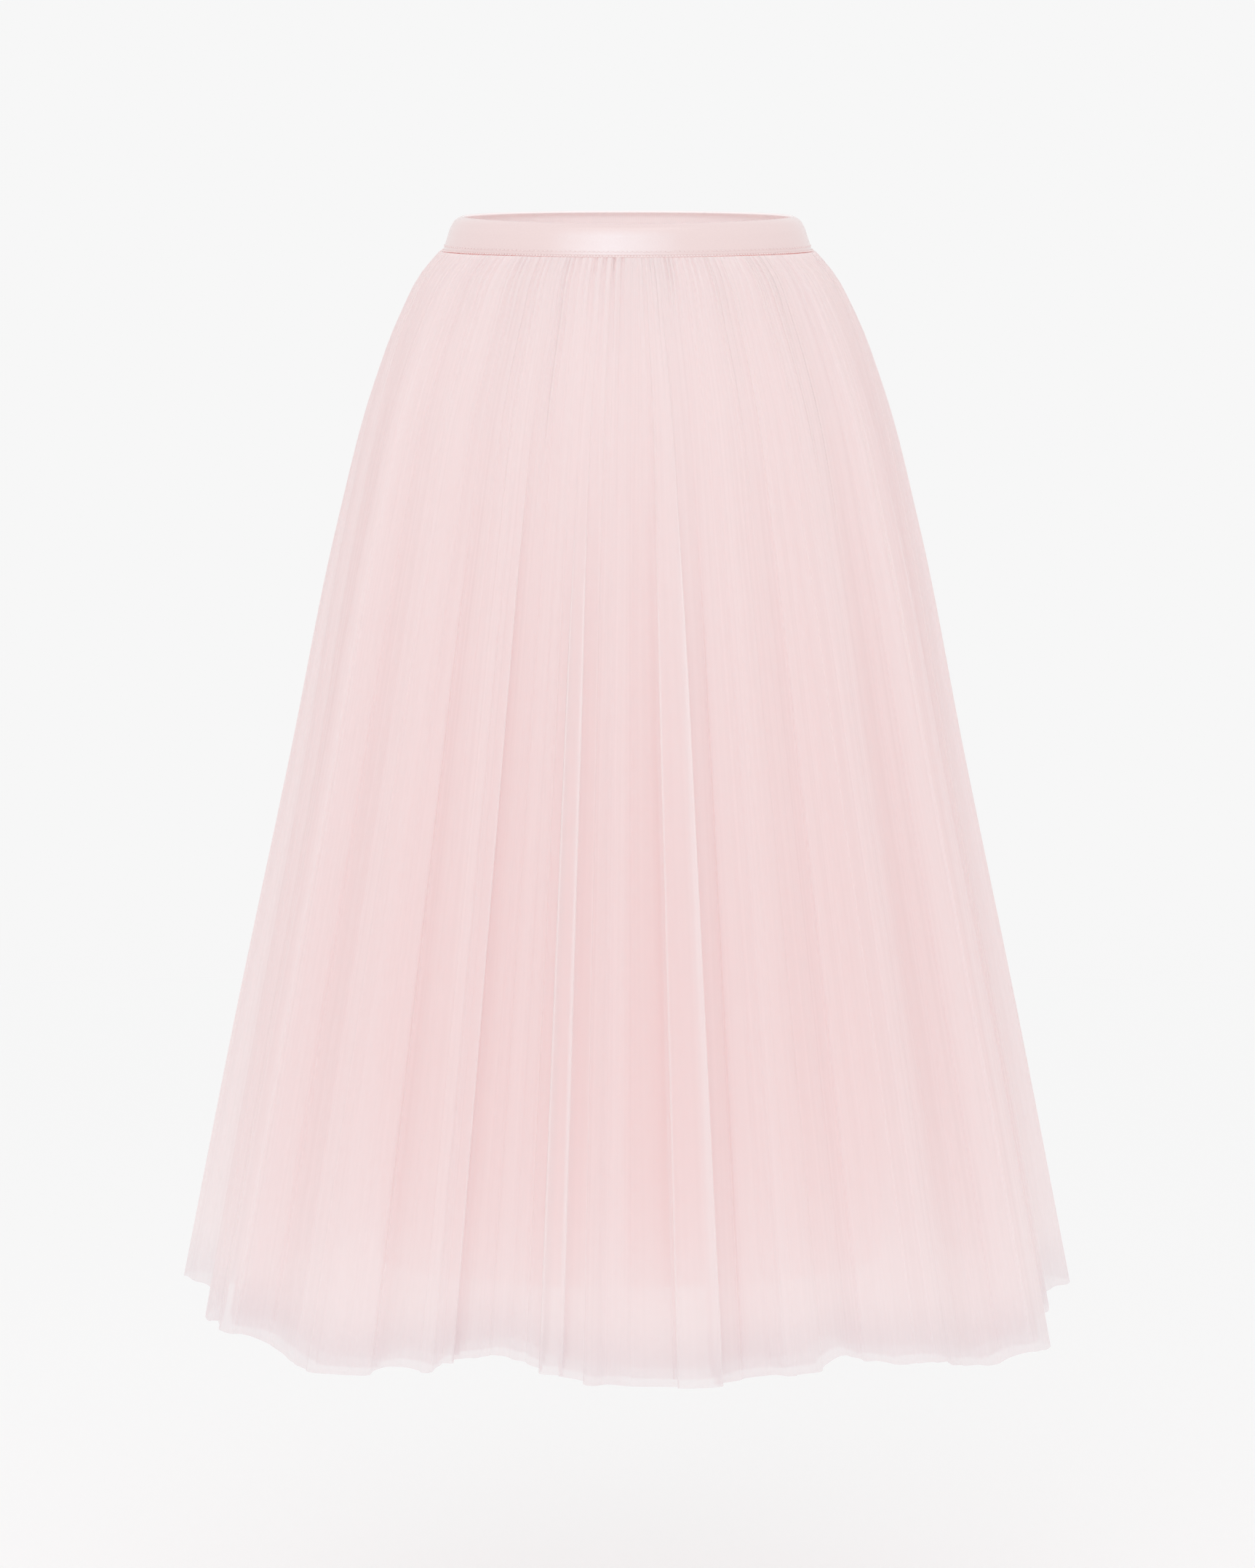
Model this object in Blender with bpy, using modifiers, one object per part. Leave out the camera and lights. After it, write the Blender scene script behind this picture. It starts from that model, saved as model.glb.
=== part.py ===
# Tulle midi skirt, filled out as it is worn, with nothing inside it.
# Metres, +Z up. The origin is the middle of the waist opening, half way up the waistband.
# The front faces -Y and +X is the viewer's right. Bearings go round from the front (0)
# towards +X (90), the back (180) and -X (270).

from collections import namedtuple
from math import cos, hypot, pi, radians, sin, sqrt

import bmesh
import bpy

OBJECT_NAME = "tulle_skirt"

# Walls and gaps.
BAND_WALL = 0.002
TULLE_WALL = 0.0012
LINING_WALL = 0.0012
SEAM_GAP = 0.0003

# The waistband stands level at the back and dips a little at the front.
BAND_TOP_AT_BACK = 0.0142
BAND_TOP_DIP = 0.0042
BAND_FOOT_AT_BACK = -0.0085
BAND_FOOT_DIP = 0.0028
BAND_COLUMNS = 48

# Roundness of a level section: 2 is an ellipse, more is squarer at the corners.
BAND_ROUNDNESS = 2.1
SKIRT_ROUNDNESS = 2.3

# Length of cloth from the seam under the band to each hem, along one thread.
OUTER_LENGTH = 0.752
MIDDLE_LENGTH = 0.748
INNER_LENGTH = 0.743
LINING_LENGTH = 0.695
LINING_COLUMNS = 32

# Each tulle layer lies one step inside the layer over it; the step opens towards the hem.
LAYER_STEP_AT_SEAM = 0.0028
LAYER_STEP_AT_HEM = 0.0080

# The band's outer face, from its top edge to its foot: the share of the way down, and the
# half width and half depth of the ring there.
BandRow = namedtuple("BandRow", "share half_width half_depth")
BAND_ROWS = (
    BandRow(0.00, 0.1150, 0.0828),
    BandRow(0.20, 0.1195, 0.0852),
    BandRow(1.00, 0.1264, 0.0889),
)

# The outer layer over the tops of its folds: the drop below the seam as a share of the
# cloth's whole drop, the half width and half depth of the section, and how far the folds
# have opened there, as a share of their depth at the hem.
SkirtRow = namedtuple("SkirtRow", "share half_width half_depth opening")
SKIRT_ROWS = (
    SkirtRow(0.000, 0.1295, 0.0905, 0.02),
    SkirtRow(0.016, 0.1415, 0.0985, 0.07),
    SkirtRow(0.055, 0.1595, 0.1090, 0.15),
    SkirtRow(0.125, 0.1805, 0.1270, 0.28),
    SkirtRow(0.260, 0.2080, 0.1480, 0.44),
    SkirtRow(0.480, 0.2420, 0.1780, 0.64),
    SkirtRow(0.740, 0.2835, 0.2120, 0.84),
    SkirtRow(1.000, 0.3225, 0.2450, 1.00),
)

# The lining is a plain tube: drop as a share of its length, half width and half depth.
LiningRow = namedtuple("LiningRow", "share half_width half_depth")
LINING_ROWS = (
    LiningRow(0.000, 0.1190, 0.0805),
    LiningRow(0.030, 0.1280, 0.0850),
    LiningRow(0.130, 0.1480, 0.0975),
    LiningRow(0.290, 0.1660, 0.1120),
    LiningRow(0.600, 0.1740, 0.1200),
    LiningRow(1.000, 0.1800, 0.1260),
)

# The large folds at the hem: the bearing of each fold's top in degrees, how far the top
# falls short of the full section, how far the hem there hangs above an even hem (less than
# zero is lower), and how deep the hollow between this top and the next goes.
Fold = namedtuple("Fold", "bearing short lift hollow")
FOLDS = (
    Fold(-104, 0.000, 0.000, 0.040),
    Fold(-81, 0.027, 0.000, 0.016),
    Fold(-63, 0.004, 0.007, 0.020),
    Fold(-46, 0.000, -0.006, 0.012),
    Fold(-33, 0.006, 0.003, 0.017),
    Fold(-13, 0.002, 0.006, 0.012),
    Fold(11, 0.000, -0.002, 0.024),
    Fold(27, 0.003, 0.002, 0.016),
    Fold(45, 0.005, 0.000, 0.015),
    Fold(65, 0.000, -0.009, 0.028),
    Fold(84, 0.028, 0.003, 0.018),
    Fold(101, 0.005, 0.000, 0.024),
    Fold(117, 0.005, -0.005, 0.022),
    Fold(133, 0.000, 0.004, 0.014),
    Fold(149, 0.007, -0.003, 0.020),
    Fold(163, 0.000, 0.006, 0.017),
    Fold(179, 0.003, -0.004, 0.024),
    Fold(195, 0.000, 0.002, 0.015),
    Fold(210, 0.006, -0.006, 0.020),
    Fold(225, 0.001, 0.005, 0.014),
    Fold(241, 0.004, -0.002, 0.022),
)
COLUMNS_PER_FOLD = 4

# Finishes: base colour, roughness, metallic.
FINISHES = {
    "satin_elastic": ((0.86, 0.70, 0.68, 1.0), 0.35, 0.0),
    "tulle_net": ((0.88, 0.72, 0.72, 1.0), 0.80, 0.0),
    "lining_cloth": ((0.91, 0.60, 0.58, 1.0), 0.60, 0.0),
}


def clear_scene():
    for item in list(bpy.data.objects):
        bpy.data.objects.remove(item, do_unlink=True)


def new_collection(name):
    collection = bpy.data.collections.new(name)
    bpy.context.scene.collection.children.link(collection)
    return collection


def new_material(node_name, finish):
    colour, roughness, metallic = FINISHES[finish]
    material = bpy.data.materials.new(node_name + "_" + finish)
    material.use_nodes = True
    shader = material.node_tree.nodes["Principled BSDF"]
    shader.inputs["Base Color"].default_value = colour
    shader.inputs["Roughness"].default_value = roughness
    shader.inputs["Metallic"].default_value = metallic
    return material


def ring_radius(bearing, half_width, half_depth, roundness):
    """Distance from the axis to a rounded section, along a level ray at this bearing."""
    across = abs(sin(bearing)) / half_width
    along = abs(cos(bearing)) / half_depth
    return (across ** roundness + along ** roundness) ** (-1.0 / roundness)


def front_share(bearing):
    """One at the front, falling to zero at the back."""
    return ((1.0 + cos(bearing)) / 2.0) ** 1.5


def band_top(bearing):
    return BAND_TOP_AT_BACK - BAND_TOP_DIP * front_share(bearing)


def band_foot(bearing):
    return BAND_FOOT_AT_BACK - BAND_FOOT_DIP * front_share(bearing)


def band_foot_lean():
    """How far the inner edge of the band's foot hangs below its outer edge."""
    row, foot = BAND_ROWS[-2], BAND_ROWS[-1]
    run = foot.half_width - row.half_width
    fall = (foot.share - row.share) * (BAND_TOP_AT_BACK - BAND_FOOT_AT_BACK)
    return BAND_WALL * run / hypot(run, fall)


def seam_height(bearing):
    """Height of the tops of the skirt's layers, just clear of the band's foot."""
    return band_foot(bearing) - band_foot_lean() - SEAM_GAP


def on_ray(bearing, radius, height):
    return (radius * sin(bearing), -radius * cos(bearing), height)


def even_bearings(count):
    return [2.0 * pi * column / count for column in range(count)]


def fold_columns():
    """Bearing, inward depth at the hem and hem lift of each column round a tulle layer."""
    columns = []
    for fold, following in zip(FOLDS, FOLDS[1:] + FOLDS[:1]):
        span = (following.bearing - fold.bearing) % 360
        for step in range(COLUMNS_PER_FOLD):
            share = step / COLUMNS_PER_FOLD
            bearing = radians(fold.bearing + span * share)
            ease = (1.0 - cos(pi * share)) / 2.0
            short = fold.short + (following.short - fold.short) * ease
            lift = fold.lift + (following.lift - fold.lift) * ease
            hollow = fold.hollow * (1.0 - cos(2.0 * pi * share)) / 2.0
            columns.append((bearing, short + hollow, lift))
    return columns


def band_rings():
    rings = []
    for row in BAND_ROWS:
        ring = []
        for bearing in even_bearings(BAND_COLUMNS):
            radius = ring_radius(bearing, row.half_width, row.half_depth, BAND_ROUNDNESS)
            top = band_top(bearing)
            height = top + (band_foot(bearing) - top) * row.share
            ring.append(on_ray(bearing, radius, height))
        rings.append(ring)
    return rings


def hung_drop(length, spread):
    """How far cloth of this length falls when its foot stands out by this spread."""
    return sqrt(length ** 2 - spread ** 2)


def tulle_rings(layer, length):
    """Rings of one tulle layer; layer 0 is the outer one and each next lies inside it."""
    top_row, foot_row = SKIRT_ROWS[0], SKIRT_ROWS[-1]
    rings = []
    for row in SKIRT_ROWS:
        step = LAYER_STEP_AT_SEAM + (LAYER_STEP_AT_HEM - LAYER_STEP_AT_SEAM) * row.opening
        ring = []
        for bearing, depth, lift in fold_columns():
            def radius_at(section):
                full = ring_radius(
                    bearing, section.half_width, section.half_depth, SKIRT_ROUNDNESS
                )
                return full - depth * section.opening

            spread = radius_at(foot_row) - radius_at(top_row)
            drop = (hung_drop(length, spread) - lift) * row.share
            height = seam_height(bearing) - drop
            ring.append(on_ray(bearing, radius_at(row) - layer * step, height))
        rings.append(ring)
    return rings


def lining_rings():
    rings = []
    for row in LINING_ROWS:
        ring = []
        for bearing in even_bearings(LINING_COLUMNS):
            radius = ring_radius(bearing, row.half_width, row.half_depth, BAND_ROUNDNESS)
            height = seam_height(bearing) - LINING_LENGTH * row.share
            ring.append(on_ray(bearing, radius, height))
        rings.append(ring)
    return rings


def cloth_tube(name, rings, wall, finish, collection):
    """A tube open at both ends, lofted through its rings, with its wall turned inwards."""
    mesh = bpy.data.meshes.new(name)
    shape = bmesh.new()
    loops = [[shape.verts.new(point) for point in ring] for ring in rings]
    count = len(loops[0])
    for upper, lower in zip(loops, loops[1:]):
        for column in range(count):
            beside = (column + 1) % count
            shape.faces.new((upper[column], lower[column], lower[beside]))
            shape.faces.new((upper[column], lower[beside], upper[beside]))
    shape.to_mesh(mesh)
    shape.free()
    mesh.shade_smooth()
    mesh.materials.append(new_material(name, finish))
    piece = bpy.data.objects.new(name, mesh)
    collection.objects.link(piece)
    thicken = piece.modifiers.new("wall", "SOLIDIFY")
    thicken.thickness = wall
    thicken.offset = -1.0
    thicken.use_rim = True
    return piece


def build_skirt():
    clear_scene()
    collection = new_collection(OBJECT_NAME)
    cloth_tube("waistband", band_rings(), BAND_WALL, "satin_elastic", collection)
    layers = (
        ("tulle_outer", OUTER_LENGTH),
        ("tulle_middle", MIDDLE_LENGTH),
        ("tulle_inner", INNER_LENGTH),
    )
    for layer, (name, length) in enumerate(layers):
        cloth_tube(name, tulle_rings(layer, length), TULLE_WALL, "tulle_net", collection)
    cloth_tube("lining", lining_rings(), LINING_WALL, "lining_cloth", collection)


build_skirt()
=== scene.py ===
import math

import bpy
import numpy as np
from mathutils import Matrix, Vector


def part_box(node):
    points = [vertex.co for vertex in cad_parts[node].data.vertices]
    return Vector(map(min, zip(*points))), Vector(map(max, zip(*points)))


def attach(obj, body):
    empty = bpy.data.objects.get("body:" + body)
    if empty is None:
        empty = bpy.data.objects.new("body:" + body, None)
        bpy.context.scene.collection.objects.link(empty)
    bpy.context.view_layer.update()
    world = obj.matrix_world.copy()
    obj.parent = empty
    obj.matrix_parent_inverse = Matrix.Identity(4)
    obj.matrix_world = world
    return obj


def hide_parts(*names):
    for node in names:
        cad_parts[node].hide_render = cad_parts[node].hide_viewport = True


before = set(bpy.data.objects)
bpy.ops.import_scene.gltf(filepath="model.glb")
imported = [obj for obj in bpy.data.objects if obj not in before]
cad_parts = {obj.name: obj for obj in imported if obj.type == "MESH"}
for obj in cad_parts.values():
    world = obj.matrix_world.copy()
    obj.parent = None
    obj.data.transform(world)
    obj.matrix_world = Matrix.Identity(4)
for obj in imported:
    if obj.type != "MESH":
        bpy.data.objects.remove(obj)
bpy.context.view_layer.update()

print("frame loaded:", ", ".join(sorted(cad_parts)))

view = {
    "distance": 4.0,         # from the skirt's axis, straight in front
    "height": 0.10,          # above the waist
    "aim": 0.378,            # how far below the waist the camera looks
    "lens": 133.6,           # mm
    "sensor": 36.0,          # mm
    "paper": 0.930,          # brightness of the plain ground, 0 to 1
    "paperColour": 0.972,
    "floorDrop": 1.06,       # waist to floor
    "floorSize": 24.0,
    "floorFade": (1.2, 5.0), # the floor melts into the ground between these distances
}


class Wire:
    # one output of a node, with ordinary arithmetic on its value
    def __init__(self, graph, socket):
        self.graph = graph
        self.socket = socket

    def maths(self, operation, first, second):
        return self.graph.add("ShaderNodeMath", {"operation": operation}, {0: first, 1: second})

    def __add__(self, value):
        return self.maths("ADD", self, value)

    def __radd__(self, value):
        return self.maths("ADD", value, self)

    def __sub__(self, value):
        return self.maths("SUBTRACT", self, value)

    def __rsub__(self, value):
        return self.maths("SUBTRACT", value, self)

    def __mul__(self, value):
        return self.maths("MULTIPLY", self, value)

    def __rmul__(self, value):
        return self.maths("MULTIPLY", value, self)

    def clamped(self):
        return self.graph.add("ShaderNodeClamp", {}, {"Value": self})

    def ramped(self, low, high):
        # 0 below low, 1 above high, smooth between
        return self.graph.add(
            "ShaderNodeMapRange", {"interpolation_type": "SMOOTHSTEP"},
            {"Value": self, "From Min": low, "From Max": high}
        )


class Graph:
    # a node tree and the one way that nodes are added to it
    def __init__(self, tree):
        self.tree = tree

    def add(self, kind, settings=None, sockets=None, output=0):
        node = self.tree.nodes.new(kind)
        for key, value in (settings or {}).items():
            setattr(node, key, value)
        for key, value in (sockets or {}).items():
            if isinstance(value, Wire):
                self.tree.links.new(value.socket, node.inputs[key])
            else:
                node.inputs[key].default_value = value
        return Wire(self, node.outputs[output] if node.outputs else None)

    def mixColours(self, share, first, second):
        return self.add(
            "ShaderNodeMix", {"data_type": "RGBA", "clamp_factor": True},
            {"Factor": share, 6: first, 7: second}, output=2
        )


def newFinish(name):
    material = bpy.data.materials.new(name)
    material.use_nodes = True
    material.node_tree.nodes.clear()
    return material, Graph(material.node_tree)


def finishWith(graph, shader):
    graph.add("ShaderNodeOutputMaterial", {}, {"Surface": shader})


def addObject(name, data):
    thing = bpy.data.objects.new(name, data)
    bpy.context.scene.collection.objects.link(thing)
    return thing


def aimAt(thing, place, height):
    # a lamp or the camera at its place, looking at this height on the skirt's axis
    thing.location = place
    towards = Vector((0, 0, height)) - Vector(place)
    thing.rotation_euler = towards.to_track_quat("-Z", "Y").to_euler()


waistLow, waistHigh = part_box("waistband")
outerLow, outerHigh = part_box("tulle_outer")

# How far the cloth's own edges lie above or outside the boxes of the solids.
pastSolid = {"bandTop": 0.0014, "bandFoot": 0.0031, "hemDepth": 0.0020}

skirt = {
    "bandRoundness": 2.1,    # of the waist's oval, where 2 is an ellipse and more is squarer
    "roundness": 2.3,        # of the skirt's oval
    "topDip": 0.0056,        # the band's top edge dips this much at the front
    "footDip": 0.0028,
    "dipPower": 1.5,         # the higher, the nearer to the front the dip keeps
    "bandTop": waistHigh.z + pastSolid["bandTop"],
    "bandFoot": waistLow.z + pastSolid["bandFoot"],
    "seamUnder": 0.0009,     # the skirt's seam lies this far under the band's foot
    "halfWidth": 0.3225,     # at the hem
    "halfDepth": (outerHigh.y - outerLow.y) / 2 + pastSolid["hemDepth"],
}

# The outer net over the tops of its folds: drop as a share of the whole drop, half width and
# half depth as shares of those at the hem, and how far the folds have opened.
skirtShares = np.array([0.000, 0.016, 0.055, 0.125, 0.260, 0.480, 0.740, 1.000])
skirtWidths = np.array([0.4016, 0.4388, 0.4946, 0.5597, 0.6450, 0.7504, 0.8791, 1.0000])
skirtDepths = np.array([0.3694, 0.4020, 0.4449, 0.5184, 0.6041, 0.7265, 0.8653, 1.0000])
skirtOpening = np.array([0.02, 0.07, 0.15, 0.28, 0.44, 0.64, 0.84, 1.00])

# Large folds: bearing of the top in degrees from the front, how far the top falls short of the
# full section, how far the hem hangs above level, how deep the hollow after it goes, how far the
# top laps over that hollow as a share of the fold's width, and how far the under nets hang back.
largeFolds = np.array([
    (-104, 0.000, 0.000, 0.040, 0.10, 0.022),
    (-81, 0.027, 0.000, 0.016, 0.04, 0.009),
    (-63, 0.004, 0.007, 0.020, 0.08, 0.000),
    (-46, 0.000, -0.006, 0.012, -0.05, 0.000),
    (-33, 0.006, 0.003, 0.017, 0.07, 0.000),
    (-13, 0.002, 0.006, 0.012, 0.03, 0.000),
    (11, 0.000, -0.002, 0.024, 0.10, 0.000),
    (27, 0.003, 0.002, 0.016, -0.05, 0.000),
    (45, 0.005, 0.000, 0.015, 0.05, 0.000),
    (65, 0.000, -0.009, 0.028, -0.08, 0.000),
    (84, 0.028, 0.003, 0.018, 0.04, 0.000),
    (101, 0.005, 0.000, 0.024, -0.08, 0.010),
    (117, 0.005, -0.005, 0.022, 0.07, 0.000),
    (133, 0.000, 0.004, 0.014, 0.05, 0.000),
    (149, 0.007, -0.003, 0.020, -0.08, 0.004),
    (163, 0.000, 0.006, 0.017, 0.06, 0.000),
    (179, 0.003, -0.004, 0.024, 0.09, 0.000),
    (195, 0.000, 0.002, 0.015, -0.05, 0.006),
    (210, 0.006, -0.006, 0.020, 0.07, 0.000),
    (225, 0.001, 0.005, 0.014, 0.04, 0.000),
    (241, 0.004, -0.002, 0.022, -0.07, 0.005),
])

# Folds laid in the large ones, all round: bearing of the crest at the hem, lean of the crest
# over the valley after it (or before it, when below 0), how boxed it is, depth, hem lift.
laidFolds = np.array([
    (-104, 0.08, 0.05, 0.0017, 0.000), (-97, -0.13, 0.02, 0.0014, 0.003),
    (-89, 0.14, 0.03, 0.0014, -0.002), (-81, -0.08, 0.05, 0.0017, 0.000),
    (-72, 0.19, 0.03, 0.0017, 0.003), (-63, -0.08, 0.05, 0.0020, 0.000),
    (-57, 0.21, 0.02, 0.0017, 0.003), (-51, 0.13, 0.03, 0.0014, 0.001),
    (-46, -0.19, 0.05, 0.0026, -0.001), (-41, 0.11, 0.05, 0.0017, -0.001),
    (-36, 0.21, 0.03, 0.0017, 0.003), (-32, -0.13, 0.05, 0.0020, 0.000),
    (-28, 0.45, 0.10, 0.0044, 0.007), (-24, 0.08, 0.03, 0.0017, 0.011),
    (-20.5, -0.17, 0.03, 0.0020, 0.013), (-17, 0.13, 0.02, 0.0023, 0.010),
    (-12.6, 0.05, 0.22, 0.0060, 0.001), (-5.5, -0.13, 0.04, 0.0023, -0.004),
    (-0.5, 0.13, 0.02, 0.0014, -0.001), (9.5, -0.08, 0.19, 0.0060, 0.000),
    (21.5, -0.14, 0.05, 0.0026, 0.003), (26, 0.13, 0.04, 0.0017, 0.001),
    (29.5, 0.22, 0.05, 0.0023, 0.002), (33.5, 0.08, 0.02, 0.0017, 0.012),
    (38, -0.19, 0.03, 0.0020, 0.007), (42.5, 0.21, 0.05, 0.0023, 0.002),
    (47, -0.08, 0.04, 0.0017, 0.000), (52.5, 0.17, 0.03, 0.0017, -0.002),
    (58, -0.13, 0.05, 0.0023, -0.004), (62, 0.11, 0.03, 0.0014, 0.002),
    (67, 0.04, 0.05, 0.0023, 0.000), (75, -0.21, 0.03, 0.0020, 0.003),
    (84, 0.08, 0.05, 0.0020, 0.000), (92, 0.14, 0.03, 0.0017, 0.003),
    (100, -0.08, 0.05, 0.0020, 0.000), (107, 0.17, 0.03, 0.0017, 0.002),
    (113, -0.14, 0.05, 0.0023, -0.002), (119, 0.20, 0.15, 0.0054, 0.001),
    (127, 0.22, 0.03, 0.0020, 0.006), (132, -0.11, 0.04, 0.0017, 0.004),
    (139, 0.30, 0.20, 0.0081, -0.001), (146, -0.19, 0.03, 0.0020, 0.003),
    (151, 0.21, 0.05, 0.0023, 0.008), (157, 0.06, 0.03, 0.0017, 0.002),
    (163, -0.13, 0.05, 0.0026, -0.003), (171, 0.19, 0.03, 0.0017, 0.001),
    (178, 0.05, 0.22, 0.0095, 0.000), (187, -0.17, 0.03, 0.0020, 0.006),
    (192, 0.14, 0.05, 0.0020, 0.010), (198, 0.25, 0.04, 0.0026, 0.003),
    (204, -0.08, 0.03, 0.0017, -0.002), (211, 0.25, 0.17, 0.0074, 0.000),
    (218, -0.21, 0.04, 0.0023, 0.004), (223, 0.13, 0.03, 0.0017, 0.001),
    (230, -0.11, 0.05, 0.0023, -0.003), (237, 0.19, 0.03, 0.0020, 0.002),
    (242, 0.04, 0.05, 0.0026, 0.005), (249, -0.14, 0.03, 0.0017, 0.001),
])


def smoothly(at, shares, values):
    # a soft curve through a table's rows
    slopes = np.gradient(values, shares)
    row = np.clip(np.searchsorted(shares, at) - 1, 0, len(shares) - 2)
    span = shares[row + 1] - shares[row]
    t = (at - shares[row]) / span
    rise = 3 * t ** 2 - 2 * t ** 3
    return (
        values[row] * (1 - rise) + values[row + 1] * rise
        + slopes[row] * span * t * (1 - t) ** 2
        - slopes[row + 1] * span * t ** 2 * (1 - t)
    )


def ringRadius(bearing, halfWidth, halfDepth, roundness):
    across = np.abs(np.sin(bearing)) / halfWidth
    along = np.abs(np.cos(bearing)) / halfDepth
    return (across ** roundness + along ** roundness) ** (-1.0 / roundness)


def bearingsAround(count):
    return np.arange(count) / count * 2 * math.pi - math.pi


def turnOf(bearing):
    # share of the way round, from the back to the back again
    return np.mod(bearing + math.pi, 2 * math.pi) / (2 * math.pi)


def frontShare(bearing):
    # 1 at the front, 0 at the back
    return ((1 + np.cos(bearing)) / 2) ** skirt["dipPower"]


def bandFoot(bearing):
    return skirt["bandFoot"] - skirt["footDip"] * frontShare(bearing)


def bandTop(bearing):
    return skirt["bandTop"] - skirt["topDip"] * frontShare(bearing)


def eased(share):
    return (1 - np.cos(math.pi * share)) / 2


def between(ends, share):
    low, high = ends
    return low + (high - low) * share


class Folds:
    # crests round the skirt, given as shares of the way round, each with its own values
    def __init__(self, crests, values, around):
        ends = np.append(crests, crests[0] + 1)
        turned = ends[0] + np.mod(around - ends[0], 1)
        index = np.clip(np.searchsorted(ends, turned, side="right") - 1, 0, len(crests) - 1)
        after = (index + 1) % len(crests)
        self.width = ends[index + 1] - ends[index]
        share = (turned - ends[index]) / self.width
        self.phase = 2 * math.pi * share
        self.hollow = (1 - np.cos(self.phase)) / 2      # 0 on a crest, 1 in a valley
        blend = eased(share)
        self.here = {
            key: given[index] * (1 - blend) + given[after] * blend
            for key, given in values.items()
        }

    def sideways(self):
        # how far the cloth is carried over its neighbours, as a share of the fold's width
        return self.here["box"] * np.sin(2 * self.phase) - self.here["lean"] * self.hollow


def unevenFolds(count, kind, rng, around):
    widths = 1 + kind["unevenness"] * (rng.random(count) * 2 - 1)
    crests = np.cumsum(widths) / widths.sum()
    values = {
        key: low + (high - low) * rng.random(count) for key, (low, high) in kind["ranges"].items()
    }
    return Folds(crests, values, around)


def tableFolds(table, names, aroundOf, around):
    crests = aroundOf(np.radians(table[:, 0]))
    order = np.argsort(crests)
    values = {name: table[order, 1 + place] for place, name in enumerate(names)}
    return Folds(crests[order], values, around)


def clothMesh(name, points, cut, covers=None):
    # points is rows x columns x 3, closed round the skirt, with its outer face outwards
    rows, columns = points.shape[:2]
    flat = points.reshape(-1, 3)
    mesh = bpy.data.meshes.new(name)
    row = np.arange(rows - 1)[:, None] * columns
    column = np.arange(columns)[None, :]
    beside = (column + 1) % columns
    quads = np.stack(
        [row + column, row + columns + column, row + columns + beside, row + beside], -1
    ).reshape(-1, 4)
    mesh.vertices.add(len(flat))
    mesh.vertices.foreach_set("co", flat.astype(np.float32).ravel())
    mesh.loops.add(quads.size)
    mesh.loops.foreach_set("vertex_index", quads.astype(np.int32).ravel())
    mesh.polygons.add(len(quads))
    mesh.polygons.foreach_set("loop_start", (np.arange(len(quads)) * 4).astype(np.int32))
    mesh.update(calc_edges=True)
    mesh.polygons.foreach_set("use_smooth", np.ones(len(quads), bool))
    layer = mesh.uv_layers.new(name="cut")
    wide, long = cut
    u = np.broadcast_to(column / columns, (rows - 1, columns))
    v = np.broadcast_to(np.arange(rows - 1)[:, None] / (rows - 1), (rows - 1, columns))
    du, dv = 1 / columns, 1 / (rows - 1)
    corners = np.stack([u, v, u, v + dv, u + du, v + dv, u + du, v], -1)
    corners = corners.reshape(-1, 4, 2) * np.array([wide, -long])
    layer.data.foreach_set("uv", corners.astype(np.float32).ravel())
    if covers is not None:
        cover = mesh.attributes.new("cover", "FLOAT", "POINT")
        cover.data.foreach_set("value", covers.astype(np.float32).ravel())
    mesh.validate()
    return addObject(name, mesh)


def clothArea(piece):
    return sum(polygon.area for polygon in piece.data.polygons)


nets = {
    "outerTulle": {
        "node": "tulle_outer", "slot": "tulle_outer", "layer": 0, "seed": 11,
        "columns": 1960, "rows": 48, "length": 0.752, "cutWidth": 4.4,
        "pleats": 54, "gathers": 168,
    },
    "middleTulle": {
        "node": "tulle_middle", "slot": "tulle_under", "layer": 1, "seed": 23,
        "columns": 1500, "rows": 44, "length": 0.748, "cutWidth": 4.2,
        "pleats": 48, "gathers": 132,
    },
    "innerTulle": {
        "node": "tulle_inner", "slot": "tulle_under", "layer": 2, "seed": 37,
        "columns": 1300, "rows": 40, "length": 0.743, "cutWidth": 4.0,
        "pleats": 42, "gathers": 116,
    },
}

# Fine folds of uneven width, each with values drawn from these ranges. The gathers' fade is the
# square root of the share of the drop where a gather ends.
pleatKind = {
    "unevenness": 0.55,
    "ranges": {"depth": (0.2, 1.0), "box": (0.00, 0.03), "lean": (-0.14, 0.14)},
}
gatherKind = {
    "unevenness": 0.6,
    "ranges": {
        "depth": (0.1, 1.5), "box": (0.00, 0.16), "lean": (-0.30, 0.30), "fade": (0.20, 0.85),
    },
}

netFolds = {
    "rowSpread": 1.25,       # rows crowd towards the seam
    "trackSteps": 4001,      # bearings at which the way round the hem is measured
    # pairs are values at the seam and at the hem
    "step": (0.0016, 0.0085),                # one net lies this far inside the next
    "laidShare": (0.05, 1),                  # of a laid fold's depth
    "pleatDepth": (0.0008, 0.0014),
    "pleatPower": 0.8,                       # below 1, pleats deepen fast under the seam
    # sideways carry: its share at the seam, the share gained, and the share of the drop it takes
    "laidCarry": (0.06, 0.94, 0.42), "pleatCarry": (0.30, 0.40, 0.35),
    "gatherDepth": 0.0008,
    "puckerDepth": 0.0014, "puckerReach": 0.022,     # extra depth at the seam, share of the drop
    "laidInside": 0.5,       # the under nets follow the laid folds this much
    "hollowShare": 0.80,     # the soft net follows this much of a large hollow's depth
    "sideCalm": 0.55,        # fine folds are this much flatter at the two sides
    "sidePower": 6,          # the higher, the narrower those sides
}

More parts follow.
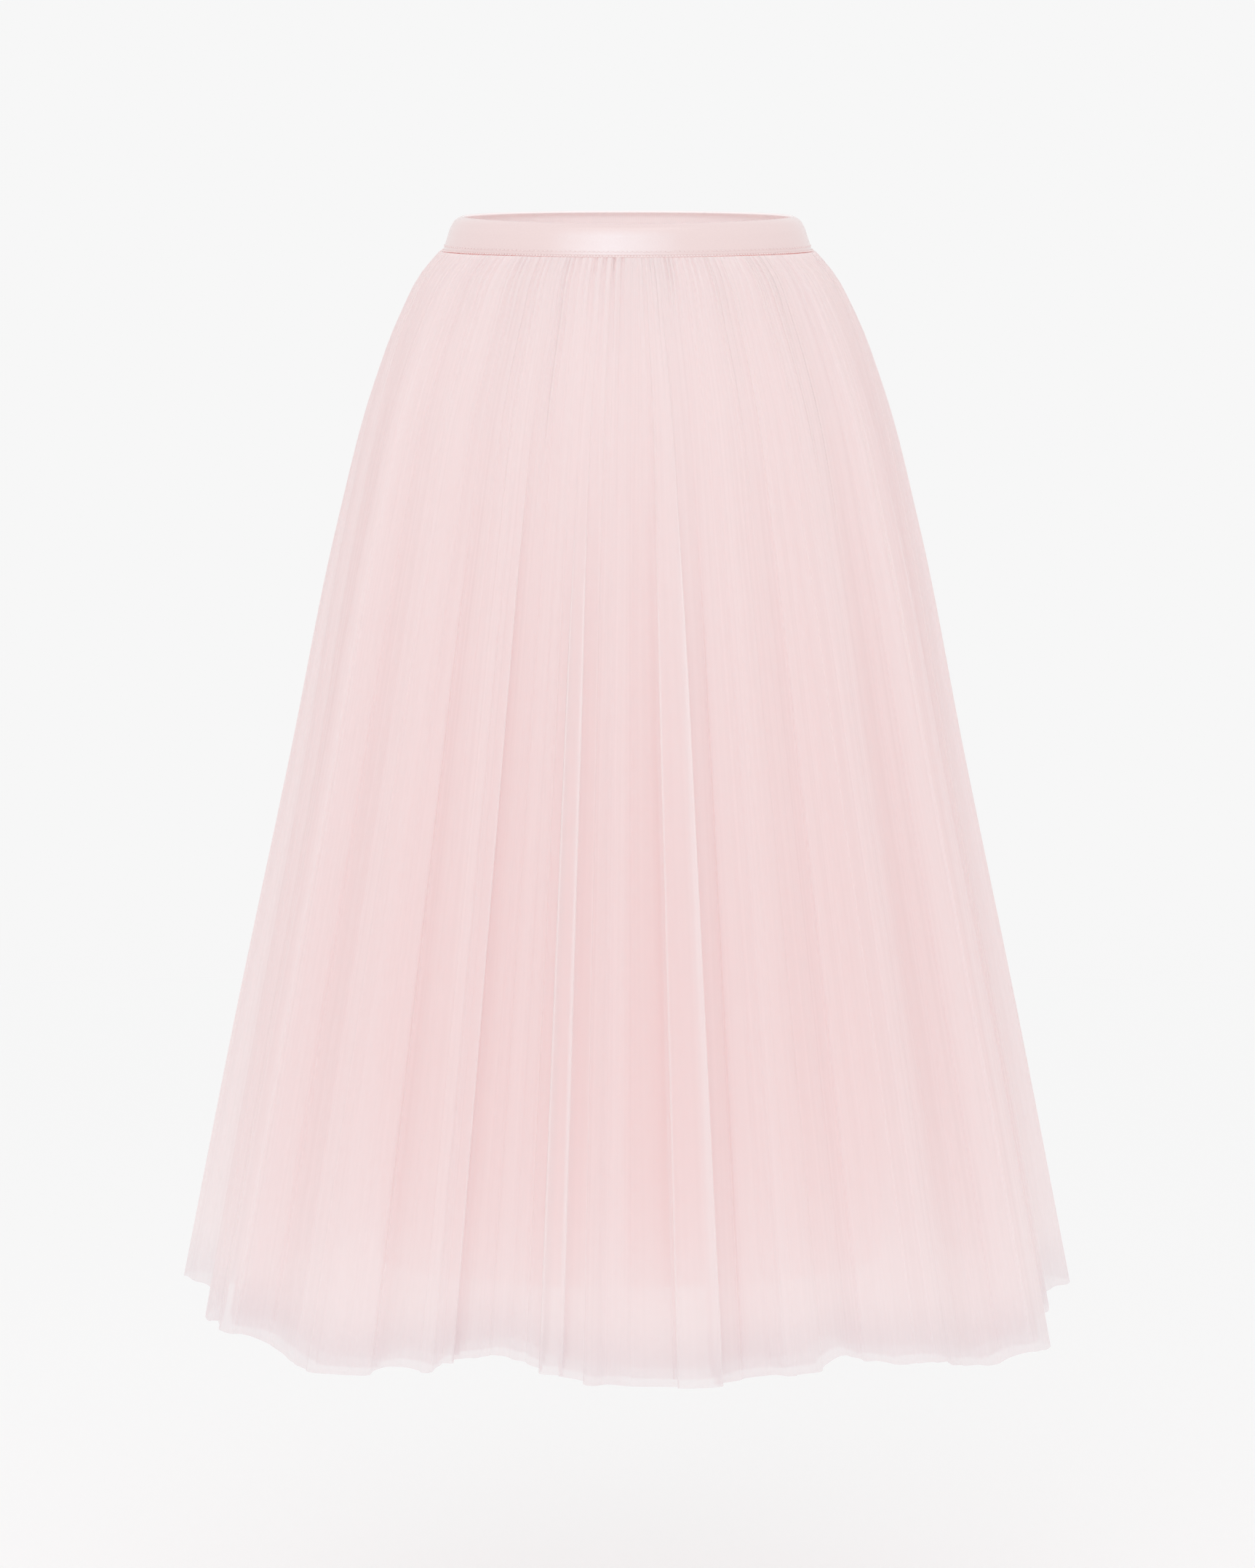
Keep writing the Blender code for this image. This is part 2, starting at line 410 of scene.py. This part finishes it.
netLook = {
    "sheetCover": 0.42,      # share of light that one flat sheet of net stops
    "crowdParts": 50,        # crowding is averaged over one of this many parts round the skirt
    "crowdLimits": (0.7, 8), # widths of cut cloth to one of shown cloth
    # the net's colour is paler at the top and darker towards the hem: painted light at the top, painted
    # shade at the hem
    "topTintPaintedLight": (0.980, 0.940, 0.941, 1), "hemTintPaintedShade": (0.953, 0.896, 0.899, 1),
    # the hem's edge is much darker: painted shade
    "hemEdgePaintedShade": (0.830, 0.775, 0.800, 1), "glow": (0.989, 0.943, 0.944, 1),
    "paintedShadeFall": (0.10, 1.05), "hemEdgeShadeFall": (0.95, 1.01),      # shares of the drop over which the painted shade deepens
    "streakScale": (150.0, 2.2, 1.0),        # streaks are long down the cloth
    "streakCover": (0.96, 0.08),             # share of the cover kept everywhere, and added by a streak
    "glowShare": 0.45,       # of light that passes through the threads
}


class HemTrack:
    # the way round the hem, along which columns are even, so the cloth is shared out fairly
    def __init__(self):
        self.fine = np.linspace(-math.pi, math.pi, netFolds["trackSteps"])
        reach = ringRadius(
            self.fine, skirt["halfWidth"], skirt["halfDepth"], skirt["roundness"]
        )
        track = np.stack([reach * np.sin(self.fine), -reach * np.cos(self.fine)], -1)
        steps = np.linalg.norm(np.diff(track, axis=0), axis=1)
        self.along = np.concatenate([[0], np.cumsum(steps)])
        self.length = self.along[-1]
        self.meanRadius = reach.mean()

    def bearingOf(self, around):
        return np.interp(around * self.length, self.along, self.fine)

    def aroundOf(self, angle):
        wrapped = np.mod(angle + math.pi, 2 * math.pi) - math.pi
        return np.interp(wrapped, self.fine, self.along / self.length)


def grown(share, carry):
    # how much of the sideways carry there is at this share of the drop
    start, gain, drop = carry
    return start + gain * eased(min(1, share / drop))


def coverOf(points, net):
    # share of light stopped in one row, more where the cut cloth crowds
    columns = len(points)
    edge = np.linalg.norm(points - np.roll(points, -1, 0), axis=1)
    window = columns // netLook["crowdParts"] + 1
    padded = np.concatenate([edge[-window:], edge, edge[:window]])
    mean = np.convolve(padded, np.ones(window) / window, "same")[window:-window]
    crowd = np.clip(net["cutWidth"] / columns / mean, *netLook["crowdLimits"])
    return 1 - (1 - netLook["sheetCover"]) ** crowd


def makeNet(name, net):
    rng = np.random.default_rng(net["seed"])
    columns, rows = net["columns"], net["rows"]
    track = HemTrack()
    around = np.arange(columns) / columns
    bearing = track.bearingOf(around)
    large = tableFolds(
        largeFolds, ("short", "lift", "hollow", "lap", "under"), turnOf, turnOf(bearing)
    )
    laid = tableFolds(laidFolds, ("lean", "box", "depth", "lift"), track.aroundOf, around)
    pleats = unevenFolds(net["pleats"], pleatKind, rng, around)
    gathers = unevenFolds(net["gathers"], gatherKind, rng, around)

    depthIn = large.here["short"] + netFolds["hollowShare"] * large.here["hollow"] * large.hollow
    laidScale = 1
    if net["layer"]:
        depthIn = depthIn + large.here["under"]
        laidScale = netFolds["laidInside"]
    lapLarge = large.here["lap"] * 2 * math.pi / len(largeFolds) * np.cos(large.phase)
    lift = large.here["lift"] + laid.here["lift"]

    down = np.linspace(0, 1, rows) ** netFolds["rowSpread"]
    points = np.zeros((rows, columns, 3))
    covers = np.zeros((rows, columns))
    width = skirt["halfWidth"] * smoothly(down, skirtShares, skirtWidths)
    depth = skirt["halfDepth"] * smoothly(down, skirtShares, skirtDepths)
    opening = smoothly(down, skirtShares, skirtOpening)
    topRadius = ringRadius(bearing, width[0], depth[0], skirt["roundness"])
    hemRadius = ringRadius(bearing, width[-1], depth[-1], skirt["roundness"]) - depthIn
    drop = np.sqrt(net["length"] ** 2 - (hemRadius - topRadius) ** 2) - lift
    calm = 1 - netFolds["sideCalm"] * np.abs(np.sin(bearing)) ** netFolds["sidePower"]
    for row, share in enumerate(down):
        full = ringRadius(bearing, width[row], depth[row], skirt["roundness"])
        perimeter = track.length * full / track.meanRadius
        laidDepth = laid.here["depth"] * (between(netFolds["laidShare"], share) * laidScale)
        pleatDepth = between(netFolds["pleatDepth"], share ** netFolds["pleatPower"])
        # fine gathers fade out down the skirt, each at its own place
        left = 1 - eased(np.clip(share / gathers.here["fade"] ** 2, 0, 1))
        pucker = netFolds["puckerDepth"] * math.exp(-share / netFolds["puckerReach"])
        gatherDepth = (netFolds["gatherDepth"] + pucker) * gathers.here["depth"] * left
        side = laid.width * perimeter * laid.sideways() * grown(share, netFolds["laidCarry"])
        side += pleats.width * perimeter * pleats.sideways() * grown(share, netFolds["pleatCarry"])
        side += gathers.width * perimeter * left * gathers.sideways() * calm
        inwards = laidDepth * laid.hollow
        inwards += pleatDepth * pleats.here["depth"] * pleats.hollow * calm
        inwards += gatherDepth * gathers.hollow * calm
        turned = bearing + side / full + lapLarge * opening[row]
        step = between(netFolds["step"], opening[row])
        radius = full - net["layer"] * step - depthIn * opening[row] - inwards
        points[row, :, 0] = radius * np.sin(turned)
        points[row, :, 1] = -radius * np.cos(turned)
        points[row, :, 2] = bandFoot(bearing) - skirt["seamUnder"] - drop * share
        covers[row] = coverOf(points[row], net)
    piece = clothMesh(name, points, (net["cutWidth"], net["length"]), covers)
    area = clothArea(piece)
    print(name, "triangles", len(piece.data.polygons) * 2, "area", round(area, 3),
          "cover", round(float(covers[0].mean()), 2), round(float(covers[-1].mean()), 2))
    return piece, area


def fallOf(graph, cut, length):
    # 0 at the seam, 1 at the hem
    return graph.add("ShaderNodeSeparateXYZ", {}, {0: cut}, output="Y") * (-1 / length)


def tulleFinish(name, net):
    # sheer net: part of each sheet lets the view through, and lit threads glow from both sides
    material, graph = newFinish(name)
    cover = graph.add("ShaderNodeAttribute", {"attribute_name": "cover"}, output="Fac")
    cut = graph.add("ShaderNodeUVMap", {"uv_map": "cut"})
    fall = fallOf(graph, cut, net["length"])
    stretched = graph.add(
        "ShaderNodeMapping", {}, {"Vector": cut, "Scale": netLook["streakScale"]}
    )
    streaks = graph.add(
        "ShaderNodeTexNoise", {"noise_dimensions": "2D"},
        {"Vector": stretched, "Scale": 1.0, "Detail": 1.0, "Roughness": 0.5}
    )
    plain, added = netLook["streakCover"]
    alpha = (cover * (plain + added * streaks)).clamped()
    # painted light at the top, painted shade towards the hem
    colour = graph.mixColours(
        fall.ramped(*netLook["paintedShadeFall"]), netLook["topTintPaintedLight"], netLook["hemTintPaintedShade"]
    )
    # painted shade along the hem's edge
    colour = graph.mixColours(fall.ramped(*netLook["hemEdgeShadeFall"]), colour, netLook["hemEdgePaintedShade"])
    face = graph.add(
        "ShaderNodeBsdfPrincipled", {},
        {"Base Color": colour, "Roughness": 0.75, "Specular IOR Level": 0.25,
         "Sheen Weight": 0.10, "Sheen Roughness": 0.4, "Sheen Tint": (1.0, 0.95, 0.95, 1.0)}
    )
    glow = graph.add("ShaderNodeBsdfTranslucent", {}, {"Color": netLook["glow"]})
    cloth = graph.add("ShaderNodeMixShader", {}, {0: netLook["glowShare"], 1: face, 2: glow})
    clear = graph.add("ShaderNodeBsdfTransparent", {}, {})
    finishWith(graph, graph.add("ShaderNodeMixShader", {}, {0: alpha, 1: clear, 2: cloth}))
    return material


def addNets():
    for name, net in nets.items():
        piece, area = makeNet(name, net)
        piece.data.materials.append(tulleFinish(name + "Finish", net))
        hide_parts(net["node"])
        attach(piece, "root")


lining = {
    "columns": 240, "rows": 30, "length": 0.695, "wall": 0.0006,
    "colour": (0.990, 0.445, 0.405, 1), "hemColour": (0.975, 0.650, 0.645, 1),
    # the inner face is a much paler copy of the lining's pink: painted light inside the skirt
    "inside": (0.985, 0.900, 0.892, 1), "fibre": (0.90, 0.62, 0.62, 1), "fibreShare": 0.06,
    "paling": (0.92, 1.0),   # shares of the drop between which the colour pales to the hem's
    "shares": np.array([0.000, 0.030, 0.130, 0.290, 0.600, 1.000]),
    "widths": np.array([0.1238, 0.1284, 0.1480, 0.1660, 0.1740, 0.1800]),
    "depths": np.array([0.0848, 0.0868, 0.0975, 0.1120, 0.1200, 0.1260]),
    "hemStitchUp": 0.012,    # above the lining's hem
    # soft waves of these numbers round the hem, of uneven height, and their depth at the hem
    "waves": (7, 10, 13, 17), "waveSeed": 5, "waveHeight": (0.3, 1.0), "waveSum": 2.6,
    "waveDepth": 0.0045,
}


def liningRing(bearing, share, folds):
    radius = ringRadius(
        bearing, smoothly(share, lining["shares"], lining["widths"]),
        smoothly(share, lining["shares"], lining["depths"]), skirt["bandRoundness"]
    ) - lining["waveDepth"] * share * (1 + folds)
    height = bandFoot(bearing) - skirt["seamUnder"] - lining["length"] * share
    return np.stack([radius * np.sin(bearing), -radius * np.cos(bearing), height], -1)


def liningFolds(bearing):
    rng = np.random.default_rng(lining["waveSeed"])
    return sum(
        rng.uniform(*lining["waveHeight"])
        * np.cos(waves * bearing + rng.uniform(0, 2 * math.pi))
        for waves in lining["waves"]
    ) / lining["waveSum"]


def liningFinish(name, upper):
    material, graph = newFinish(name)
    cut = graph.add("ShaderNodeUVMap", {"uv_map": "cut"})
    fall = fallOf(graph, cut, lining["length"])
    fibre = graph.add(
        "ShaderNodeTexNoise", {"noise_dimensions": "2D"},
        {"Vector": cut, "Scale": 900.0, "Detail": 2.0}
    )
    paled = graph.mixColours(fall.ramped(*lining["paling"]), upper, lining["hemColour"])
    colour = graph.mixColours(fibre * lining["fibreShare"], paled, lining["fibre"])
    bump = graph.add("ShaderNodeBump", {}, {"Strength": 0.1, "Distance": 0.0002, "Height": fibre})
    finishWith(graph, graph.add(
        "ShaderNodeBsdfPrincipled", {},
        {"Base Color": colour, "Roughness": 0.6, "Normal": bump, "Sheen Weight": 0.1}
    ))
    return material


def addLining():
    bearing = bearingsAround(lining["columns"])
    folds = liningFolds(bearing)
    down = np.linspace(0, 1, lining["rows"])
    points = np.stack([liningRing(bearing, share, folds) for share in down])
    piece = clothMesh("liningTube", points, (1.0, lining["length"]))
    wall = piece.modifiers.new("wall", "SOLIDIFY")
    wall.thickness = lining["wall"]
    wall.offset = -1
    wall.material_offset = 1
    piece.data.materials.append(liningFinish("liningFinish", lining["colour"]))
    # the inner face: paler, painted light
    piece.data.materials.append(liningFinish("liningPaintedLitBackFinish", lining["inside"]))
    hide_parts("lining")
    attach(piece, "root")


band = {
    "columns": 360, "rows": 16, "wall": 0.0018,
    "shares": np.array([0.00, 0.08, 0.27, 0.60, 1.00]),
    "widths": np.array([0.1130, 0.1168, 0.1203, 0.1232, 0.1262]),
    "depths": np.array([0.0815, 0.0838, 0.0856, 0.0871, 0.0888]),
    "cut": (0.70, 0.024), "rounding": 0.0006,
    "colour": (0.842, 0.686, 0.678, 1), "shade": (0.812, 0.654, 0.646, 1), "gloss": 0.6,
    # the inside face is a much paler copy of the satin: painted light on the inner back band
    "inside": (0.930, 0.890, 0.892, 1), "insideGloss": 0.2,
    "insideGlow": 0.08,      # painted light: a glow on the inside face that stands for light coming in through the cloth
    "paintedGlowColour": (1.0, 0.93, 0.93, 1),
    "roughness": (0.13, 0.12),       # everywhere, and added by the grain
}


def bandRing(bearing, share):
    radius = ringRadius(
        bearing, smoothly(share, band["shares"], band["widths"]),
        smoothly(share, band["shares"], band["depths"]), skirt["bandRoundness"]
    )
    height = bandTop(bearing) + (bandFoot(bearing) - bandTop(bearing)) * share
    return np.stack([radius * np.sin(bearing), -radius * np.cos(bearing), height], -1)


def satinFinish(name, colour, shade, gloss, glow):
    material, graph = newFinish(name)
    cut = graph.add("ShaderNodeUVMap", {"uv_map": "cut"})
    ribs = graph.add(
        "ShaderNodeTexWave", {"wave_type": "BANDS", "bands_direction": "X"},
        {"Vector": cut, "Scale": 320.0, "Distortion": 0.6, "Detail": 1.0}, output="Fac"
    )
    grain = graph.add(
        "ShaderNodeTexNoise", {"noise_dimensions": "2D"},
        {"Vector": cut, "Scale": 700.0, "Detail": 3.0}
    )
    smooth, added = band["roughness"]
    bump = graph.add(
        "ShaderNodeBump", {},
        {"Strength": 0.25, "Distance": 0.0002, "Height": ribs * 0.5 + grain * 0.5}
    )
    # emission set by glow paints light onto the face; it is 0 on the outer face
    finishWith(graph, graph.add(
        "ShaderNodeBsdfPrincipled", {},
        {"Base Color": graph.mixColours(grain, colour, shade), "Normal": bump,
         "Roughness": smooth + grain * added, "Specular IOR Level": gloss, "Sheen Weight": 0.1,
         "Emission Color": band["paintedGlowColour"], "Emission Strength": glow}
    ))
    return material


def addBand():
    bearing = bearingsAround(band["columns"])
    down = np.linspace(0, 1, band["rows"])
    points = np.stack([bandRing(bearing, share) for share in down])
    piece = clothMesh("satinBand", points, band["cut"])
    wall = piece.modifiers.new("wall", "SOLIDIFY")
    wall.thickness = band["wall"]
    wall.offset = -1
    wall.material_offset = 1
    wall.material_offset_rim = 1
    edge = piece.modifiers.new("edge", "BEVEL")
    edge.width = band["rounding"]
    edge.segments = 3
    piece.data.materials.append(
        satinFinish("satinFinish", band["colour"], band["shade"], band["gloss"], 0.0)
    )
    # the inside face: paler and glowing, painted light
    piece.data.materials.append(satinFinish(
        "satinPaintedLitBackFinish", band["inside"], band["inside"], band["insideGloss"],
        band["insideGlow"]
    ))
    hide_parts("waistband")
    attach(piece, "root")


stitching = {
    "pathPoints": 720,
    "edgeOut": 0.0006,       # the edge's loops lie this far outside the band's foot
    "raised": 0.0001,        # threads lie this far off the cloth
    "zigzagAt": 0.87,        # share of the way down the band
    # name: pitch, stitch length, width, height, slant in degrees
    "picotEdge": (0.0021, 0.0019, 0.0012, 0.0011, 0.0),
    "zigzagStitches": (0.0016, 0.0021, 0.0004, 0.0005, 38.0),
    "hemStitches": (0.0032, 0.0022, 0.0004, 0.0004, 0.0),
    "thread": (0.930, 0.800, 0.792, 1), "ply": (0.900, 0.760, 0.752, 1),
}


def threadFinish():
    material, graph = newFinish("threadFinish")
    place = graph.add("ShaderNodeTexCoord", output="Object")
    twist = graph.add("ShaderNodeTexNoise", {}, {"Vector": place, "Scale": 2600.0, "Detail": 1.0})
    bump = graph.add("ShaderNodeBump", {}, {"Strength": 0.2, "Distance": 0.0001, "Height": twist})
    colour = graph.mixColours(twist, stitching["thread"], stitching["ply"])
    finishWith(graph, graph.add(
        "ShaderNodeBsdfPrincipled", {},
        {"Base Color": colour, "Roughness": 0.5, "Normal": bump, "Sheen Weight": 0.2}
    ))
    return material


def stitchTree():
    # stitches set at an even pitch along a path, slanting one way and then the other
    tree = bpy.data.node_groups.new("stitchesAlongPath", "GeometryNodeTree")
    tree.interface.new_socket("Geometry", in_out="OUTPUT", socket_type="NodeSocketGeometry")
    tree.interface.new_socket("Geometry", in_out="INPUT", socket_type="NodeSocketGeometry")
    for name in ("Pitch", "Stitch Length", "Stitch Width", "Stitch Height", "Slant"):
        tree.interface.new_socket(name, in_out="INPUT", socket_type="NodeSocketFloat")
    tree.interface.new_socket("Thread", in_out="INPUT", socket_type="NodeSocketMaterial")
    graph = Graph(tree)
    given = graph.add("NodeGroupInput")

    def asked(name):
        return Wire(graph, given.socket.node.outputs[name])

    path = graph.add("GeometryNodeMeshToCurve", {}, {"Mesh": asked("Geometry")})
    beads = graph.add(
        "GeometryNodeResampleCurve", {"mode": "LENGTH"},
        {"Curve": path, "Length": asked("Pitch")}
    )
    size = graph.add("ShaderNodeCombineXYZ", {}, {
        "X": asked("Stitch Length") * 0.5, "Y": asked("Stitch Width") * 0.5,
        "Z": asked("Stitch Height") * 0.5,
    })
    bead = graph.add(
        "GeometryNodeMeshUVSphere", {}, {"Segments": 8, "Rings": 5, "Radius": 1.0}
    )
    forwards = graph.add("GeometryNodeInputTangent")
    place = graph.add("GeometryNodeInputPosition")
    outwards = graph.add(
        "ShaderNodeVectorMath", {"operation": "MULTIPLY"}, {0: place, 1: (1.0, 1.0, 0.0)}
    )
    facing = graph.add(
        "FunctionNodeAxesToRotation", {"primary_axis": "X", "secondary_axis": "Z"},
        {"Primary Axis": forwards, "Secondary Axis": outwards}
    )
    index = graph.add("GeometryNodeInputIndex")
    swing = graph.add("ShaderNodeMath", {"operation": "MODULO"}, {0: index, 1: 2.0}) * 2.0 - 1.0
    turn = graph.add("ShaderNodeCombineXYZ", {}, {"Z": swing * asked("Slant")})
    turned = graph.add(
        "FunctionNodeRotateRotation", {"rotation_space": "LOCAL"},
        {"Rotation": facing, "Rotate By": turn}
    )
    beads = graph.add("GeometryNodeInstanceOnPoints", {}, {
        "Points": beads, "Instance": bead, "Rotation": turned, "Scale": size,
    })
    whole = graph.add("GeometryNodeRealizeInstances", {}, {"Geometry": beads})
    soft = graph.add("GeometryNodeSetShadeSmooth", {}, {"Geometry": whole})
    dressed = graph.add(
        "GeometryNodeSetMaterial", {}, {"Geometry": soft, "Material": asked("Thread")}
    )
    graph.add("NodeGroupOutput", {}, {0: dressed})
    return tree


def stitchPath(name, points, tree, thread):
    # a closed path as loose edges, turned into stitches by the tree and kept as a plain mesh
    mesh = bpy.data.meshes.new(name + "Path")
    count = len(points)
    mesh.from_pydata(points.tolist(), [(i, (i + 1) % count) for i in range(count)], [])
    path = addObject(name + "Path", mesh)
    sewing = path.modifiers.new("sewing", "NODES")
    sewing.node_group = tree
    pitch, length, width, height, slant = stitching[name]
    wanted = {
        "Pitch": pitch, "Stitch Length": length, "Stitch Width": width,
        "Stitch Height": height, "Slant": math.radians(slant), "Thread": thread,
    }
    for item in tree.interface.items_tree:
        if item.in_out == "INPUT" and item.name in wanted:
            sewing[item.identifier] = wanted[item.name]
    ready = path.evaluated_get(bpy.context.evaluated_depsgraph_get())
    sewn = bpy.data.meshes.new_from_object(ready)
    sewn.name = name
    bpy.data.objects.remove(path)
    print(name, "faces", len(sewn.polygons))
    return addObject(name, sewn)


def addStitches():
    tree = stitchTree()
    thread = threadFinish()
    bearing = bearingsAround(stitching["pathPoints"])
    foot = bandRing(bearing, 1.0)
    outwards = foot * np.array([1, 1, 0]) / np.linalg.norm(foot[:, :2], axis=1)[:, None]
    raised = outwards * stitching["raised"]
    under = np.array([0, 0, -stitching["raised"]])
    hemShare = 1 - lining["hemStitchUp"] / lining["length"]
    hem = liningRing(bearing, hemShare, liningFolds(bearing)) + raised
    paths = {
        "picotEdge": (foot + outwards * stitching["edgeOut"] + under, "satin_elastic"),
        "zigzagStitches": (bandRing(bearing, stitching["zigzagAt"]) + raised, "satin_elastic"),
        "hemStitches": (hem, "lining"),
    }
    sewn = {}
    for name, (points, slot) in paths.items():
        sewn[name] = stitchPath(name, points, tree, thread)
        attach(sewn[name], "root")
    return sewn


def addStage():
    mesh = bpy.data.meshes.new("studioFloor")
    half = view["floorSize"] / 2
    drop = -view["floorDrop"]
    corners = [(-half, -half, drop), (half, -half, drop), (half, half, drop), (-half, half, drop)]
    mesh.from_pydata(corners, [], [(0, 1, 2, 3)])
    floor = addObject("studioFloor", mesh)
    material, graph = newFinish("paperFinish")
    place = graph.add("ShaderNodeTexCoord", output="Object")
    length = graph.add(
        "ShaderNodeVectorMath", {"operation": "LENGTH"}, {0: place}, output="Value"
    )
    near, far = view["floorFade"]
    paper = graph.add("ShaderNodeBsdfDiffuse", {}, {"Color": (view["paperColour"],) * 3 + (1,)})
    clear = graph.add("ShaderNodeBsdfTransparent", {}, {})
    fade = 1 - length.ramped(near, far)
    finishWith(graph, graph.add("ShaderNodeMixShader", {}, {0: fade, 1: clear, 2: paper}))
    mesh.materials.append(material)


lamps = {
    # name: place, height aimed at, width and height, watts, colour, whether it lights cloth as
    # well as giving gloss
    "keyLamp": ((-0.9, -3.7, 1.3), -0.3, (2.4, 2.0), 8.0, (1.0, 1.0, 1.0), True),
    "topLamp": ((0.0, -1.9, 2.1), -0.3, (1.8, 1.2), 8.0, (1.0, 1.0, 1.0), True),
    "bandLamp": ((-0.36, -3.2, 1.25), 0.0, (1.8, 1.1), 19.0, (0.45, 0.85, 1.0), False),
}


def addLight():
    world = bpy.data.worlds.new("studioAir")
    bpy.context.scene.world = world
    world.use_nodes = True
    ground = world.node_tree.nodes["Background"]
    ground.inputs["Color"].default_value = (view["paper"],) * 3 + (1,)
    ground.inputs["Strength"].default_value = 1.0
    for name, (place, aim, size, watts, colour, lightsCloth) in lamps.items():
        light = bpy.data.lights.new(name, "AREA")
        light.shape = "RECTANGLE"
        light.size, light.size_y = size
        light.energy = watts
        light.color = colour
        lamp = addObject(name, light)
        lamp.visible_diffuse = lightsCloth
        aimAt(lamp, place, aim)


def addCamera():
    data = bpy.data.cameras.new("camera")
    data.lens = view["lens"]
    data.sensor_width = view["sensor"]
    camera = addObject("camera", data)
    aimAt(camera, (0, -view["distance"], view["height"]), -view["aim"])
    bpy.context.scene.camera = camera
    bpy.context.scene.view_settings.view_transform = "Standard"
    cycles = bpy.context.scene.cycles
    cycles.transparent_max_bounces = 96     # the view passes many sheets of net
    cycles.max_bounces = 20                 # and light bounces often between them
    cycles.diffuse_bounces = 12
    cycles.transmission_bounces = 12


sewn = addStitches()
addNets()
addLining()
addBand()
addStage()
addLight()
addCamera()
